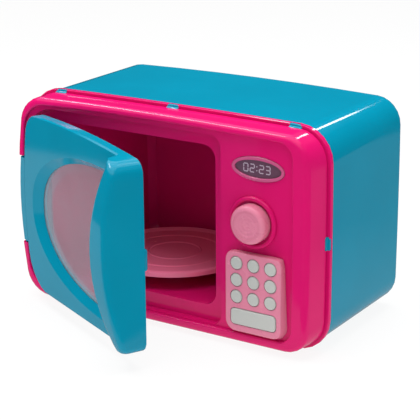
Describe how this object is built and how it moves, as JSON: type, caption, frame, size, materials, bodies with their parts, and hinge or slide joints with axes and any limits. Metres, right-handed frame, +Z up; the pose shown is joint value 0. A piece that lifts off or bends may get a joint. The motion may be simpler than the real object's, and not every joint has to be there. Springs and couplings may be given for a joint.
{
  "type": "toy microwave oven",
  "caption": "Toy microwave with a hinged windowed door, a turning plate, a turning knob, an oval display and a keypad of springy keys.",
  "frame": {"origin": "middle of the flat under the front frame's bead, which the toy rests on", "axes": "+Z up, +Y to the back, so the front with the door and controls faces -Y; +X is the viewer's right, where the controls are"},
  "size_m": [0.3042, 0.268, 0.1914],
  "materials": {
    "teal": "glossy moulded",
    "pink": "glossy moulded",
    "pale_pink": "glossy moulded",
    "key_grey": "satin moulded",
    "display_grey": "glossy dark face",
    "pane": "clear tinted sheet",
    "rubber_grey": "soft matt",
    "steel": "plated"
  },
  "bodies": {
    "case": {"front_frame": "pink", "rear_housing": "teal", "cavity_tub": "pink", "tub_screw_1": "steel", "tub_screw_2": "steel", "tub_screw_3": "steel", "tub_screw_4": "steel", "turntable_hub": "pink", "display_bezel": "pale_pink", "display_panel": "display_grey", "keypad_plate": "pale_pink", "keypad_mat": "rubber_grey", "keypad_screw_1": "steel", "keypad_screw_2": "steel", "keypad_screw_3": "steel", "keypad_screw_4": "steel"},
    "door": {"door_panel": "teal", "window_pane": "pane", "door_cover": "teal", "door_screw_1": "steel", "door_screw_2": "steel", "door_screw_3": "steel", "door_screw_4": "steel"},
    "turntable": {"turntable_plate": "pale_pink"},
    "dial": {"knob": "pale_pink", "knob_washer": "steel", "knob_screw": "steel"},
    "key_1": {"key_1": "key_grey"},
    "key_2": {"key_2": "key_grey"},
    "key_3": {"key_3": "key_grey"},
    "key_4": {"key_4": "key_grey"},
    "key_5": {"key_5": "key_grey"},
    "key_6": {"key_6": "key_grey"},
    "key_7": {"key_7": "key_grey"},
    "key_8": {"key_8": "key_grey"},
    "key_9": {"key_9": "key_grey"},
    "key_bar": {"key_bar": "key_grey"}
  },
  "joints": [
    {"name": "door_hinge", "type": "hinge", "parent": "case", "child": "door", "pos_m": [-0.1464, -0.02375, 0.092], "axis": [0, 0, -1], "range_deg": [-25.4, 79.6]},
    {"name": "turntable_spin", "type": "hinge", "parent": "case", "child": "turntable", "pos_m": [-0.0365, 0.04979, 0.04], "axis": [0, 0, 1], "continuous": true},
    {"name": "knob_turn", "type": "hinge", "parent": "case", "child": "dial", "pos_m": [0.092, -0.03, 0.10982], "axis": [0, 1, 0], "continuous": true},
    {"name": "key_1_press", "type": "slide", "parent": "case", "child": "key_1", "axis": [0, 1, 0], "range_m": [0, 0.0015], "stiffness_N_per_m": 300, "springref_m": -0.0005},
    {"name": "key_2_press", "type": "slide", "parent": "case", "child": "key_2", "axis": [0, 1, 0], "range_m": [0, 0.0015], "stiffness_N_per_m": 300, "springref_m": -0.0005},
    {"name": "key_3_press", "type": "slide", "parent": "case", "child": "key_3", "axis": [0, 1, 0], "range_m": [0, 0.0015], "stiffness_N_per_m": 300, "springref_m": -0.0005},
    {"name": "key_4_press", "type": "slide", "parent": "case", "child": "key_4", "axis": [0, 1, 0], "range_m": [0, 0.0015], "stiffness_N_per_m": 300, "springref_m": -0.0005},
    {"name": "key_5_press", "type": "slide", "parent": "case", "child": "key_5", "axis": [0, 1, 0], "range_m": [0, 0.0015], "stiffness_N_per_m": 300, "springref_m": -0.0005},
    {"name": "key_6_press", "type": "slide", "parent": "case", "child": "key_6", "axis": [0, 1, 0], "range_m": [0, 0.0015], "stiffness_N_per_m": 300, "springref_m": -0.0005},
    {"name": "key_7_press", "type": "slide", "parent": "case", "child": "key_7", "axis": [0, 1, 0], "range_m": [0, 0.0015], "stiffness_N_per_m": 300, "springref_m": -0.0005},
    {"name": "key_8_press", "type": "slide", "parent": "case", "child": "key_8", "axis": [0, 1, 0], "range_m": [0, 0.0015], "stiffness_N_per_m": 300, "springref_m": -0.0005},
    {"name": "key_9_press", "type": "slide", "parent": "case", "child": "key_9", "axis": [0, 1, 0], "range_m": [0, 0.0015], "stiffness_N_per_m": 300, "springref_m": -0.0005},
    {"name": "key_bar_press", "type": "slide", "parent": "case", "child": "key_bar", "axis": [0, 1, 0], "range_m": [0, 0.0015], "stiffness_N_per_m": 300, "springref_m": -0.0005}
  ]
}
